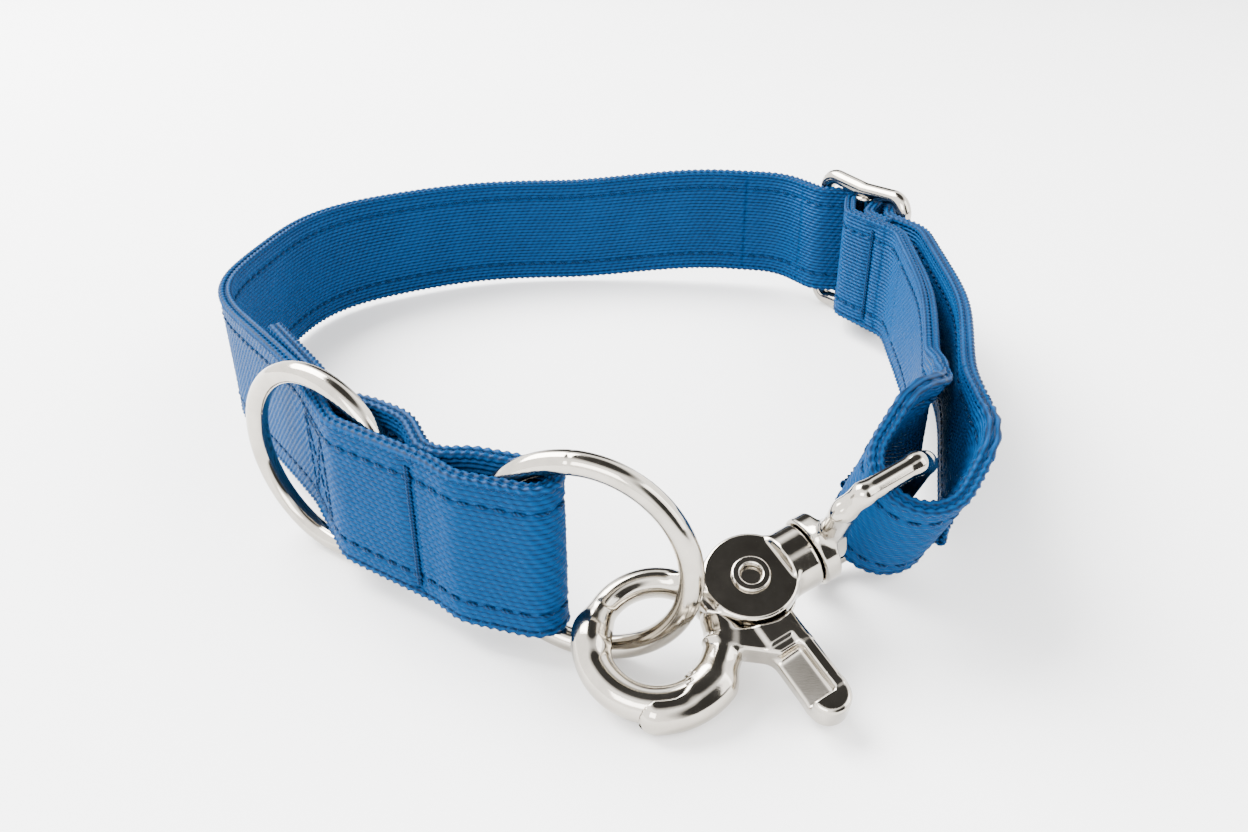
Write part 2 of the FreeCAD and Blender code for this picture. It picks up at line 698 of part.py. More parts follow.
spring = doc.addObject("Part::Torus", "spring")
spring.setExpression("Radius1", "sizes.spring_radius - 0.1")
spring.setExpression("Radius2", "sizes.spring_wire / 2")
spring_place = Placement(Vector(0, 0, plate_half - size("spring_wire") / 2 - 0.1), Rotation())
node(spring, "gate_spring", SNAP_PLACE.multiply(spring_place))

rivet_body = doc.addObject("PartDesign::Body", "rivet_body")
rise = half_height + size("rivet_rise")
shank = size("rivet_radius")
flange = size("rivet_head")
turned(rivet_body, "rivet", [(-rise, 0), (-rise, flange - 0.3), (0.3 - rise, flange), (-half_height, flange),
                             (-half_height, shank), (half_height, shank), (half_height, flange),
                             (rise - 0.3, flange), (rise, flange - 0.4), (rise - 0.1, flange - 0.9),
                             (rise - 1.0, flange - 1.5), (rise - 1.0, 0)], "Z_Axis")
node(rivet_body, "pivot_rivet", SNAP_PLACE)

# ---------------------------------------------------------------- checks and files
doc.recompute()
for item in doc.Objects:
    if "Invalid" in item.State or "Error" in item.State:
        raise RuntimeError("%s did not build: %s" % (item.Name, item.State))
for item in NODES:
    shape = item.Shape
    if shape.isNull() or not shape.isValid() or not shape.Solids:
        raise RuntimeError("%s is not a valid solid" % item.Label)
    shape.exportStep("parts/%s.step" % item.Label)

everything = NODES[0].Shape.BoundBox
for item in NODES:
    everything.add(item.Shape.BoundBox)
    box = item.Shape.BoundBox
    print("%-22s %d solid(s) %9.1f mm3  x %.1f..%.1f y %.1f..%.1f z %.1f..%.1f" % (
        item.Label, len(item.Shape.Solids), item.Shape.Volume, box.XMin, box.XMax, box.YMin, box.YMax,
        box.ZMin, box.ZMax))
print("whole", everything)
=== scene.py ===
import json
import math

import bpy
import numpy as np
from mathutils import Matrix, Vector


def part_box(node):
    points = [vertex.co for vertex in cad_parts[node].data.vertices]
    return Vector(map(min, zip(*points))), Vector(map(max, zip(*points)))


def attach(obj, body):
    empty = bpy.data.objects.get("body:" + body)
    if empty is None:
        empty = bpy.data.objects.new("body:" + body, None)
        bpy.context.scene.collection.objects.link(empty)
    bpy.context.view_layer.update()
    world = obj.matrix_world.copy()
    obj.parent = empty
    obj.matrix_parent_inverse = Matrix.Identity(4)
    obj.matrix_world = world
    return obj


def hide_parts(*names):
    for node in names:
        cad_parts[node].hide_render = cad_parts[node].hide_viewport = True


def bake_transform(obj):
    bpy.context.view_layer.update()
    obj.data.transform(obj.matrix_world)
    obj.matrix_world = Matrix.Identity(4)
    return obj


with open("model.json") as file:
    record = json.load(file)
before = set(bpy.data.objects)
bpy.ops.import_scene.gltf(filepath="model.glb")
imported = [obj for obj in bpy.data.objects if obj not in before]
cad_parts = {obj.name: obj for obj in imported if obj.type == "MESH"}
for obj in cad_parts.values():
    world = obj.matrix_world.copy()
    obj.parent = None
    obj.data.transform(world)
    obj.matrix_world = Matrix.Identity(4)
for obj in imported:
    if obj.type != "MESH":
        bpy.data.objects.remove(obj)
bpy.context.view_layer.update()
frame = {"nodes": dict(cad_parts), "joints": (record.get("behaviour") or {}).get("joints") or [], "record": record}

# A webbing collar with two welded rings, a slide and a swivel trigger snap. The strap's course is read from
# the CAD plies, and its weave, edges and stitching are built on it. The castings are skinned from solid
# shapes in the snap's own frame. Lengths here are millimetres unless a name says metres.
MM = 0.001
NODES = frame["nodes"]
JOINTS = {joint["name"]: joint for joint in frame["joints"]}
UP = np.array([0.0, 0.0, 1.0])


# ---------------------------------------------------------------- meshes
def mesh_object(name, points, faces, material, uv=None):
    """A smooth-shaded mesh from millimetre points, with optional (along, across) millimetre coordinates."""
    mesh = bpy.data.meshes.new(name)
    mesh.from_pydata((np.asarray(points) * MM).tolist(), [], faces)
    mesh.polygons.foreach_set("use_smooth", [True] * len(mesh.polygons))
    if uv is not None:
        corners = np.zeros(len(mesh.loops), dtype=np.int32)
        mesh.loops.foreach_get("vertex_index", corners)
        layer = mesh.uv_layers.new(name="cloth")
        layer.data.foreach_set("uv", np.asarray(uv, dtype=np.float32)[corners].ravel())
    mesh.materials.append(material)
    made = bpy.data.objects.new(name, mesh)
    bpy.context.scene.collection.objects.link(made)
    return made


class Build:
    """Collects rings of points into one mesh."""

    def __init__(self):
        self.points = []
        self.uv = []
        self.faces = []
        self.count = 0

    def rings(self, rings, uv, closed=False):
        """Skins rings, an array of (rings, points, 3); open runs are capped at both ends."""
        many, around = rings.shape[:2]
        index = np.arange(many * around).reshape(many, around) + self.count
        self.points.append(rings.reshape(-1, 3))
        self.uv.append(uv.reshape(-1, 2))
        self.count += many * around
        following = np.roll(index, -1, axis=0) if closed else index[1:]
        here = index if closed else index[:-1]
        quads = np.stack([here, np.roll(here, -1, 1), np.roll(following, -1, 1), following], -1)
        self.faces += quads.reshape(-1, 4).tolist()
        if not closed:
            self.faces.append(index[0][::-1].tolist())
            self.faces.append(index[-1].tolist())

    def finish(self, name, material):
        return mesh_object(name, np.concatenate(self.points), self.faces, material,
                           np.concatenate(self.uv))


def unit(vectors):
    return vectors / np.linalg.norm(vectors, axis=-1, keepdims=True)


# ---------------------------------------------------------------- materials
def linear(code):
    """sRGB hex to linear RGBA."""
    parts = [int(code[i:i + 2], 16) / 255 for i in (1, 3, 5)]
    return [p / 12.92 if p <= 0.04045 else ((p + 0.055) / 1.055) ** 2.4 for p in parts] + [1.0]


def add(tree, kind, settings=None, links=None):
    """Adds a node: settings are attributes or input values, links feed its inputs."""
    made = tree.nodes.new(kind)
    for key, value in (settings or {}).items():
        if isinstance(key, str) and hasattr(made, key):
            setattr(made, key, value)
        else:
            made.inputs[key].default_value = value
    for key, socket in (links or {}).items():
        tree.links.new(socket, made.inputs[key])
    return made


def ramp(tree, factor, stops):
    """A colour ramp from (place, hex) stops."""
    made = add(tree, "ShaderNodeValToRGB", links={"Fac": factor})
    made.color_ramp.elements[0].position = stops[0][0]
    made.color_ramp.elements[0].color = linear(stops[0][1])
    made.color_ramp.elements[1].position = stops[-1][0]
    made.color_ramp.elements[1].color = linear(stops[-1][1])
    for place, code in stops[1:-1]:
        made.color_ramp.elements.new(place).color = linear(code)
    return made


def new_material(name, settings):
    material = bpy.data.materials.new(name)
    material.use_nodes = True
    tree = material.node_tree
    shader = tree.nodes["Principled BSDF"]
    for key, value in settings.items():
        shader.inputs[key].default_value = value
    return material, tree, shader


RIB = 0.80            # one lengthwise cord of the weave
TWIST = 1.45          # one turn of the yarn in a cord
WAVE_UNIT = 2 * math.pi / 20    # a wave texture's scale for a period of one unit


def polyester_webbing():
    """Woven polyester webbing: fat twisted cords run lengthwise, with a satin light on their filaments; the colour
    carries painted shade in the grooves between cords and painted highlight on their crests.
    """
    material, tree, shader = new_material("woven_polyester", {
        "Roughness": 0.5, "Specular IOR Level": 0.06})
    place = add(tree, "ShaderNodeUVMap", {"uv_map": "cloth"}).outputs["UV"]
    # painted shade and highlight: the colour darkens in the grooves between cords and lightens on their crests
    cord_shade_and_highlight = add(tree, "ShaderNodeTexWave",
                {"bands_direction": "Y", "Scale": WAVE_UNIT / RIB, "Phase Offset": math.pi / 2},
                {"Vector": place})
    turned = add(tree, "ShaderNodeMapping", {"Rotation": (0, 0, math.radians(32))}, {"Vector": place})
    twist_bump_and_highlight = add(tree, "ShaderNodeTexWave",
               {"bands_direction": "X", "Scale": WAVE_UNIT / TWIST * 1.15, "Distortion": 0.6,
                "Detail": 1.0, "Detail Scale": 0.8}, {"Vector": turned.outputs[0]})
    fibre_place = add(tree, "ShaderNodeMapping", {"Scale": (1.2, 7.0, 1.0)}, {"Vector": place})
    fibre = add(tree, "ShaderNodeTexNoise", {"Scale": 1.6, "Detail": 4.0, "Roughness": 0.65},
                {"Vector": fibre_place.outputs[0]})
    fade = add(tree, "ShaderNodeTexNoise", {"Scale": 0.09, "Detail": 3.0}, {"Vector": place})
    shade = add(tree, "ShaderNodeMath", {"operation": "MULTIPLY_ADD", 1: 0.55, 2: 0.12},
                {0: cord_shade_and_highlight.outputs["Fac"]})
    # the yarn twist puts a painted highlight along each turn into the colour, as well as its real bump
    shade = add(tree, "ShaderNodeMath", {"operation": "MULTIPLY_ADD", 1: 0.22},
                {0: twist_bump_and_highlight.outputs["Fac"], 2: shade.outputs[0]})
    shade = add(tree, "ShaderNodeMath", {"operation": "MULTIPLY_ADD", 1: 0.26},
                {0: fade.outputs["Fac"], 2: shade.outputs[0]})
    # the ramp runs from painted groove shade to painted crest highlight; the slow noise adds random tone
    colour = ramp(tree, shade.outputs[0], [(0.12, "#000812"), (0.42, "#001E3C"), (0.95, "#003562")])
    tree.links.new(colour.outputs[0], shader.inputs["Base Color"])
    fine = add(tree, "ShaderNodeMath", {"operation": "MULTIPLY_ADD", 1: 0.35},
               {0: fibre.outputs["Fac"], 2: twist_bump_and_highlight.outputs["Fac"]})
    bump = add(tree, "ShaderNodeBump", {"Strength": 0.8, "Distance": 0.12 * MM},
               {"Height": fine.outputs[0]})
    tree.links.new(bump.outputs[0], shader.inputs["Normal"])
    rough = add(tree, "ShaderNodeMapRange", {"To Min": 0.38, "To Max": 0.58},
                {"Value": fibre.outputs["Fac"]})
    tree.links.new(rough.outputs[0], shader.inputs["Roughness"])
    return material


def bonded_thread():
    """Bonded polyester sewing thread: a shade deeper than the webbing and smoother, three-ply twist, with painted
    shade in the grooves between its plies.
    """
    material, tree, shader = new_material("bonded_thread", {
        "Roughness": 0.45, "Specular IOR Level": 0.06})
    place = add(tree, "ShaderNodeUVMap", {"uv_map": "cloth"}).outputs["UV"]
    turned = add(tree, "ShaderNodeMapping", {"Rotation": (0, 0, math.radians(40))}, {"Vector": place})
    ply_bump_and_shade = add(tree, "ShaderNodeTexWave", {"bands_direction": "X", "Scale": WAVE_UNIT / 0.5},
                {"Vector": turned.outputs[0]})
    # painted shade: the colour darkens in the grooves between plies, in step with their bump
    colour = ramp(tree, ply_bump_and_shade.outputs["Fac"], [(0.0, "#001228"), (1.0, "#002C52")])
    tree.links.new(colour.outputs[0], shader.inputs["Base Color"])
    bump = add(tree, "ShaderNodeBump", {"Strength": 0.6, "Distance": 0.08 * MM},
               {"Height": ply_bump_and_shade.outputs["Fac"]})
    tree.links.new(bump.outputs[0], shader.inputs["Normal"])
    return material


def nickel_plate(name, roughness, scratch_depth):
    """Polished nickel plate: a warm mirror with faint polishing scratches and handling haze."""
    material, tree, shader = new_material(name, {"Metallic": 1.0, "Roughness": roughness})
    place = add(tree, "ShaderNodeTexCoord").outputs["Object"]
    haze = add(tree, "ShaderNodeTexNoise", {"Scale": 160.0, "Detail": 5.0, "Roughness": 0.6},
               {"Vector": place})
    colour = ramp(tree, haze.outputs["Fac"], [(0.3, "#9C968C"), (0.7, "#B4AEA4")])
    tree.links.new(colour.outputs[0], shader.inputs["Base Color"])
    rough = add(tree, "ShaderNodeMapRange",
                {"From Min": 0.3, "From Max": 0.75, "To Min": roughness * 0.7, "To Max": roughness * 1.6},
                {"Value": haze.outputs["Fac"]})
    tree.links.new(rough.outputs[0], shader.inputs["Roughness"])
    stretched = add(tree, "ShaderNodeMapping", {"Scale": (1.0, 9.0, 3.0), "Rotation": (0.3, 0.2, 0.6)},
                    {"Vector": place})
    scratches = add(tree, "ShaderNodeTexNoise", {"Scale": 700.0, "Detail": 3.0, "Roughness": 0.7},
                    {"Vector": stretched.outputs[0]})
    bump = add(tree, "ShaderNodeBump", {"Strength": scratch_depth, "Distance": 0.01 * MM},
               {"Height": scratches.outputs["Fac"]})
    tree.links.new(bump.outputs[0], shader.inputs["Normal"])
    return material


def spring_wire():
    """Drawn spring steel: grey, with fine drawing lines."""
    material, tree, shader = new_material("drawn_spring_steel", {"Metallic": 1.0, "Roughness": 0.35})
    noise = add(tree, "ShaderNodeTexNoise", {"Scale": 900.0, "Detail": 2.0})
    colour = ramp(tree, noise.outputs["Fac"], [(0.3, "#8A8A88"), (0.7, "#B4B4B0")])
    tree.links.new(colour.outputs[0], shader.inputs["Base Color"])
    return material


def paper_sweep():
    """Matte white background paper: almost no gloss, faint fibre mottling."""
    material, tree, shader = new_material("matte_paper", {"Roughness": 0.9, "Specular IOR Level": 0.1})
    mottle = add(tree, "ShaderNodeTexNoise", {"Scale": 30.0, "Detail": 4.0})
    colour = ramp(tree, mottle.outputs["Fac"], [(0.2, "#F6F6F6"), (0.8, "#FBFBFB")])
    tree.links.new(colour.outputs[0], shader.inputs["Base Color"])
    return material


WEBBING = polyester_webbing()
THREAD = bonded_thread()
RING_PLATE = nickel_plate("polished_nickel_wire", 0.10, 0.25)
CAST_PLATE = nickel_plate("polished_nickel_casting", 0.09, 0.35)
SPRING = spring_wire()

# ---------------------------------------------------------------- the strap's course, read from the plies
HALF_WIDTH = 12.7
PLY = 1.2
HALF_STRAP = 1.2
STEP = 0.3
ROUTE = ["flap", "channel", "ring_fold", "neck_band", "slide_approach", "slide_crossing", "slide_exit",
         "outer_run", "outer_twist", "eye_fold", "inner_twist", "inner_run", "slide_return", "slide_fold"]
BAR_AXIS = unit(np.array(JOINTS["eye_hinge"]["axis"], float))


def outline_of(node, up):
    """The ordered outline of a ply's upper edge."""
    mesh = NODES[node].data
    points = np.array([v.co[:] for v in mesh.vertices]) / MM
    height = points @ up
    edge_level = height.max() - 0.02
    keys = {}
    label = []
    for point in np.round(points, 3):
        label.append(keys.setdefault(tuple(point), len(keys)))
    places = np.array(list(keys))
    uses = {}
    for polygon in mesh.polygons:
        corners = list(polygon.vertices)
        if min(height[corners]) < edge_level:
            continue
        for a, b in zip(corners, corners[1:] + corners[:1]):
            pair = frozenset((label[a], label[b]))
            uses[pair] = uses.get(pair, 0) + 1
    beside = {}
    for pair, times in uses.items():
        if times == 1 and len(pair) == 2:
            a, b = pair
            beside.setdefault(a, []).append(b)
            beside.setdefault(b, []).append(a)
    start = next(iter(beside))
    walk = [start, beside[start][0]]
    while True:
        onward = [n for n in beside[walk[-1]] if n != walk[-2]][0]
        if onward == start:
            return places[walk]
        walk.append(onward)


def long_sides(node, up):
    """The two long sides of a ply's outline."""
    loop = outline_of(node, up)
    span = np.roll(loop, -1, axis=0) - loop
    length = np.linalg.norm(span, axis=1)
    along = span / length[:, None]
    turn = np.abs((along * np.roll(along, 1, axis=0)).sum(axis=1))
    square = turn < 0.2
    ends = [i for i in range(len(loop)) if square[i] and square[(i + 1) % len(loop)]
            and abs(length[i] - PLY) < 0.05]
    first, second = ends[0], ends[1]
    one = loop[first + 1:second + 1]
    other = np.concatenate([loop[second + 1:], loop[:first + 1]])
    return one, other[::-1]


def middle_line(stretch, up):
    """The line between a stretch's two plies, at the middle of the strap's width."""
    faces = long_sides(stretch + "_face", up)
    linings = long_sides(stretch + "_lining", up)
    best = min(((f, l) for f in faces for l in linings),
               key=lambda pair: min(np.linalg.norm(pair[0][0] - pair[1][0]),
                                    np.linalg.norm(pair[0][0] - pair[1][-1])))
    return best[0] - up * HALF_WIDTH


def resample(points, step):
    gaps = np.linalg.norm(np.diff(points, axis=0), axis=1)
    travelled = np.concatenate([[0], np.cumsum(gaps)])
    count = max(2, int(round(travelled[-1] / step)) + 1)
    at = np.linspace(0, travelled[-1], count)
    return np.stack([np.interp(at, travelled, points[:, i]) for i in range(3)], axis=1)


def hermite(start, start_way, finish, finish_way, count):
    t = np.linspace(0, 1, count)[:, None]
    reach = np.linalg.norm(finish - start)
    return ((2 * t ** 3 - 3 * t ** 2 + 1) * start + (t ** 3 - 2 * t ** 2 + t) * start_way * reach
            + (3 * t ** 2 - 2 * t ** 3) * finish + (t ** 3 - t ** 2) * finish_way * reach)


def smoothstep(low, high, value):
    t = np.clip((value - low) / (high - low), 0, 1)
    return t * t * (3 - 2 * t)


def smoothed(values, sigma):
    """Gaussian smoothing along the strap; the two ends stay put."""
    reach = int(sigma * 3 / STEP)
    kernel = np.exp(-0.5 * (np.arange(-reach, reach + 1) * STEP / sigma) ** 2)
    kernel /= kernel.sum()
    before = 2 * values[0] - values[reach:0:-1]
    after = 2 * values[-1] - values[-2:-reach - 2:-1]
    padded = np.concatenate([before, values, after])
    return np.stack([np.convolve(padded[:, i], kernel, "valid") for i in range(values.shape[1])], axis=1)


def read_course():
    """Centre points, width directions and the index range of every stretch, in one run."""
    lines = {}
    for stretch in ROUTE:
        if "twist" not in stretch:
            lines[stretch] = middle_line(stretch, BAR_AXIS if stretch == "eye_fold" else UP)
    here = lines["channel"].mean(axis=0)
    if np.linalg.norm(lines["flap"][0] - here) < np.linalg.norm(lines["flap"][-1] - here):
        lines["flap"] = lines["flap"][::-1]
    end = lines["flap"][-1]
    for stretch in ROUTE[1:]:
        if stretch in lines:
            line = lines[stretch]
            if np.linalg.norm(line[-1] - end) < np.linalg.norm(line[0] - end):
                lines[stretch] = line[::-1]
            end = lines[stretch][-1]
    for twist, before, after in (("outer_twist", "outer_run", "eye_fold"),
                                 ("inner_twist", "eye_fold", "inner_run")):
        way_in = unit(lines[before][-1] - lines[before][-2])
        way_out = unit(lines[after][1] - lines[after][0])
        lines[twist] = hermite(lines[before][-1], way_in, lines[after][0], way_out, 60)
    points, ups, spans = [], [], {}
    total = 0
    for stretch in ROUTE:
        line = resample(lines[stretch], STEP)
        if total:
            line = line[1:]
        share = np.linspace(0, 1, len(line))
        lean = {"outer_twist": smoothstep(0, 1, share), "inner_twist": 1 - smoothstep(0, 1, share),
                "eye_fold": np.ones(len(line))}.get(stretch, np.zeros(len(line)))
        points.append(line)
        ups.append(UP * (1 - lean[:, None]) + BAR_AXIS * lean[:, None])
        spans[stretch] = (max(total - 1, 0), total + len(line) - 1)
        total += len(line)
    return np.concatenate(points), np.concatenate(ups), spans


POINTS, UPS, SPANS = read_course()
TRAVEL = np.arange(len(POINTS)) * STEP


def share_along(stretch):
    """0 at a stretch's start and 1 at its end, for every point of the strap."""
    low, high = SPANS[stretch]
    return (np.arange(len(POINTS)) - low) / (high - low)


def relax_course():
    """Softens the strap's corners where it is free, and lets it down onto the table round the neck."""
    close = smoothed(POINTS, 0.7)
    soft = smoothed(POINTS, 2.2)
    loose = smoothed(POINTS, 6.0)
    for stretch in ("flap", "channel"):
        low, high = SPANS[stretch]
        ends = smoothstep(0, 5.0, TRAVEL[low:high] - TRAVEL[low])
        ends = (ends * smoothstep(0, 5.0, TRAVEL[high] - TRAVEL[low:high]))[:, None]
        close[low:high] = close[low:high] * (1 - ends) + soft[low:high] * ends
    band = share_along("neck_band")
    free = smoothstep(0.16, 0.28, band) * (1 - smoothstep(0.86, 0.96, band))
    out_end = 1 - smoothstep(0.5, 0.95, share_along("outer_twist"))
    in_end = 1 - smoothstep(0.6, 0.9, share_along("inner_run"))
    slack_out = smoothstep(0.1, 0.4, share_along("outer_run")) * out_end
    slack_in = smoothstep(0.05, 0.5, share_along("inner_twist")) * in_end
    free = np.maximum(free, np.maximum(slack_out, slack_in))
    course = close * (1 - free[:, None]) + loose * free[:, None]
    droop = smoothstep(0.14, 0.34, band) * (1 - smoothstep(0.80, 0.98, band))
    course[:, 2] -= 3.0 * droop
    return course, unit(smoothed(UPS, 4.0))


COURSE, WIDTHWAY = relax_course()
FORWARD = unit(np.gradient(COURSE, axis=0))
LEFT = unit(np.cross(WIDTHWAY, FORWARD))
LEVEL = unit(np.cross(FORWARD, LEFT))


def nearest(point):
    return int(np.argmin(np.linalg.norm(COURSE - np.asarray(point), axis=1)))


def node_middle(node):
    low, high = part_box(node)
    return np.array((low + high) / 2) / MM


# ---------------------------------------------------------------- webbing
ROW = HALF_WIDTH - 4.0    # the edge stitching's distance from the middle of the strap
EDGE = 0.62               # radius of the bead along each ply's edge


def seam_places():
    """Where each cross seam crosses the strap, and which face it is sewn from."""
    places = {}
    for seam in ("front_seam", "slide_seam", "cross_box_seam"):
        middle = node_middle(seam)
        at = nearest(middle)
        side = 1.0 if (middle - COURSE[at]) @ LEFT[at] > 0 else -1.0
        places[seam] = (at, side)
    return places


SEAMS = seam_places()


def surface_height(across, travel, side):
    """How far the strap's face stands from its middle: cords, stitch furrows, pulled-in seams and slubs."""
    cord = np.abs(np.cos(np.pi * across / RIB))
    pulled = 0.04 * np.sin(2 * np.pi * (travel / TWIST + np.round(across / RIB) * 0.37))
    height = HALF_STRAP - 0.34 * (1 - cord) ** 0.8 + pulled * cord
    height = height - 0.26 * np.exp(-((np.abs(across) - ROW) / 0.5) ** 2)
    for seam, (at, seam_side) in SEAMS.items():
        if seam != "cross_box_seam" and side == seam_side:
            away = (travel - at * STEP) / 1.1
            height = height - 0.55 * np.exp(-away ** 2)
    ripple = np.sin(travel * 2.1 + np.sin(across * 0.6) * 1.3) * np.sin(travel * 0.37 + across * 0.21)
    return height - 0.05 - 0.05 * ripple


def strap_rings(low, high):
    """The strap's section, both faces corded, at a row of places along it."""
    picks = np.unique(np.round(np.linspace(low, high, max(2, int((high - low) / 3) + 1))).astype(int))
    across = np.linspace(-HALF_WIDTH + 0.55, HALF_WIDTH - 0.55, 175)
    travel = TRAVEL[picks][:, None]
    outer = surface_height(across[None, :], travel, 1.0)
    inner = surface_height(across[None, :], travel, -1.0)
    waist = np.zeros((len(picks), 1))
    offset = np.concatenate([outer, waist, -inner[:, ::-1], waist], axis=1)
    reach = np.concatenate([across, [HALF_WIDTH - 0.35], across[::-1], [-HALF_WIDTH + 0.35]])
    rings = (COURSE[picks][:, None, :] + LEFT[picks][:, None, :] * offset[..., None]
             + LEVEL[picks][:, None, :] * reach[None, :, None])
    uv = np.stack(np.broadcast_arrays(travel, reach[None, :]), axis=-1)
    return rings, uv


def edge_bead_rings(low, high, ply, edge):
    """The looped edge of one ply: a two-lobed twist, handed so that the two plies make a chevron."""
    picks = np.arange(low, high + 1)
    travel = TRAVEL[picks][:, None]
    angle = np.linspace(0, 2 * np.pi, 10, endpoint=False)[None, :]
    radius = EDGE * (1 + 0.26 * np.cos(2 * angle - ply * edge * 2 * np.pi * travel / TWIST))
    centre = (COURSE[picks] + LEFT[picks] * (ply * 0.60)
              + LEVEL[picks] * (edge * (HALF_WIDTH - EDGE + 0.02)))
    rings = (centre[:, None, :] + LEFT[picks][:, None, :] * (radius * np.cos(angle))[..., None]
             + LEVEL[picks][:, None, :] * (radius * np.sin(angle))[..., None])
    uv = np.stack(np.broadcast_arrays(travel, angle * EDGE + edge * HALF_WIDTH), axis=-1)
    return rings, uv


def webbing(stretch):
    low, high = SPANS[stretch]
    build = Build()
    build.rings(*strap_rings(low, high))
    for ply in (-1, 1):
        for edge in (-1, 1):
            build.rings(*edge_bead_rings(low, high, ply, edge))
    piece = build.finish("webbing_" + stretch, WEBBING)
    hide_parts(stretch + "_face", stretch + "_lining")
    return piece


def thread_rings(points, normals, radius, travel):
    """A thread laid along points: round, with domed ends that go down into the cloth."""
    way = unit(np.gradient(points, axis=0))
    side = unit(np.cross(normals, way))
    angle = np.linspace(0, 2 * np.pi, 8, endpoint=False)
    share = np.linspace(-1, 1, len(points))
    swell = np.sqrt(np.clip(1 - share ** 6, 0.06, 1))[:, None] * radius
    rings = (points[:, None, :] + side[:, None, :] * (swell * np.cos(angle))[..., None]
             + normals[:, None, :] * (swell * np.sin(angle))[..., None])
    uv = np.stack(np.broadcast_arrays(travel[:, None], angle[None, :] * radius), axis=-1)
    return rings, uv


STITCH = 2.7
STITCH_LENGTH = 2.0
STITCH_RADIUS = 0.27


def edge_stitches(stretch, faces=(-1, 1)):
    """The two rows of lockstitch along one stretch, on the given faces."""
    low, high = SPANS[stretch]
    build = Build()
    for face in faces:
        for row in (-1, 1):
            start = math.ceil(TRAVEL[low] / STITCH) * STITCH
            for at in np.arange(start, TRAVEL[high] - STITCH_LENGTH, STITCH):
                first = int(at / STEP)
                picks = first + np.linspace(0, STITCH_LENGTH / STEP, 6).astype(int)
                if picks[-1] > high:
                    continue
                rise = HALF_STRAP - 0.26 + 0.12 * (1 - np.linspace(-1, 1, 6) ** 2)
                points = (COURSE[picks] + LEFT[picks] * (face * rise)[:, None]
                          + LEVEL[picks] * (row * ROW))
                build.rings(*thread_rings(points, LEFT[picks] * face, STITCH_RADIUS, TRAVEL[picks]))
    return build


def on_face(at, side, ahead, across, lift):
    """A point on the strap's face, a little ahead of a place and across the strap."""
    place = at + ahead / STEP
    below = int(np.clip(math.floor(place), 0, len(COURSE) - 2))
    share = place - below
    middle = COURSE[below] * (1 - share) + COURSE[below + 1] * share
    return middle + LEFT[below] * side * (HALF_STRAP + lift) + LEVEL[below] * across


def sewn_run(build, at, side, start, finish, radius, stitch, lift):
    """Stitches from one (ahead, across) place on a face to another."""
    start, finish = np.array(start, float), np.array(finish, float)
    length = np.linalg.norm(finish - start)
    count = max(1, round(length / stitch))
    for number in range(count):
        shares = (number + np.linspace(0.04, 0.96, 6)) / count
        places = start + (finish - start) * shares[:, None]
        arch = 0.1 * (1 - np.linspace(-1, 1, 6) ** 2)
        points = np.array([on_face(at, side, p[0], p[1], lift + a) for p, a in zip(places, arch)])
        normals = np.repeat(LEFT[at][None, :] * side, len(points), axis=0)
        build.rings(*thread_rings(points, normals, radius, shares * length))


def bar_tack(seam, half_length):
    """A dense zigzag seam across the strap, sunk in the furrow that it pulls."""
    at, side = SEAMS[seam]
    build = Build()
    pitch = 0.62
    count = int(2 * half_length / pitch)
    for number in range(count):
        across = -half_length + number * pitch
        sewn_run(build, at, side, (-0.55, across), (0.55, across + pitch * 0.8), 0.3, 5.0, -0.48)
    piece = build.finish(seam + "_thread", THREAD)
    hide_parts(seam)
    return piece


def cross_box():
    """A sewn box with a cross in it, behind the leash ring."""
    at, side = SEAMS["cross_box_seam"]
    build = Build()
    ahead, half = 4.5, ROW - 1.0
    corners = [(-ahead, -half), (ahead, -half), (ahead, half), (-ahead, half)]
    runs = list(zip(corners, corners[1:] + corners[:1]))
    runs += [(corners[0], corners[2]), (corners[1], corners[3])]
    for start, finish in runs:
        sewn_run(build, at, side, start, finish, 0.2, STITCH, -0.12)
    piece = build.finish("cross_box_thread", THREAD)
    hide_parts("cross_box_seam")
    return piece


# ---------------------------------------------------------------- round wire
def swept(name, path, radius, material, closed, around=32):
    """Round wire along a path; radius may change along it."""
    path = np.asarray(path, float)
    if closed:
        way = unit(np.roll(path, -1, 0) - np.roll(path, 1, 0))
    else:
        way = unit(np.gradient(path, axis=0))
    normal = np.linalg.svd(path - path.mean(axis=0))[2][2]
    side = unit(np.cross(way, normal))
    normal = np.cross(side, way)
    radius = np.broadcast_to(radius, len(path))
    angle = np.linspace(0, 2 * np.pi, around, endpoint=False)
    rings = (path[:, None, :] + side[:, None, :] * (radius[:, None] * np.cos(angle))[..., None]
             + normal[:, None, :] * (radius[:, None] * np.sin(angle))[..., None])
    uv = np.stack(np.broadcast_arrays(np.arange(len(path))[:, None] * 0.5, angle[None, :]), axis=-1)
    build = Build()
    build.rings(rings, uv, closed)
    return build.finish(name, material)


def mount(name):
    return next(m for m in frame["record"]["mounts"] if m["name"] == name)


def welded_ring(node, weld_angle):
    """A ring of round wire, butt-welded and tumbled: one faint waist where the ends met."""
    hole = mount(node)
    wire = hole["dims"]["length_mm"] / 2
    radius = hole["dims"]["r_mm"] + wire
    centre = np.array(hole["pos_m"]) / MM
    across = unit(np.cross(UP, np.array(hole["axis"])))
    angle = np.linspace(0, 2 * np.pi, 360, endpoint=False)
    path = centre + radius * (np.cos(angle)[:, None] * across + np.sin(angle)[:, None] * UP)
    gap = (angle - weld_angle + np.pi) % (2 * np.pi) - np.pi
    thickness = wire * (1 - 0.035 * np.exp(-(gap * radius / 0.22) ** 2)
                        + 0.012 * np.exp(-(gap * radius / 1.2) ** 2))
    piece = swept(node + "_wire", path, thickness, RING_PLATE, True, 40)
    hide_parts(node)
    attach(piece, node)


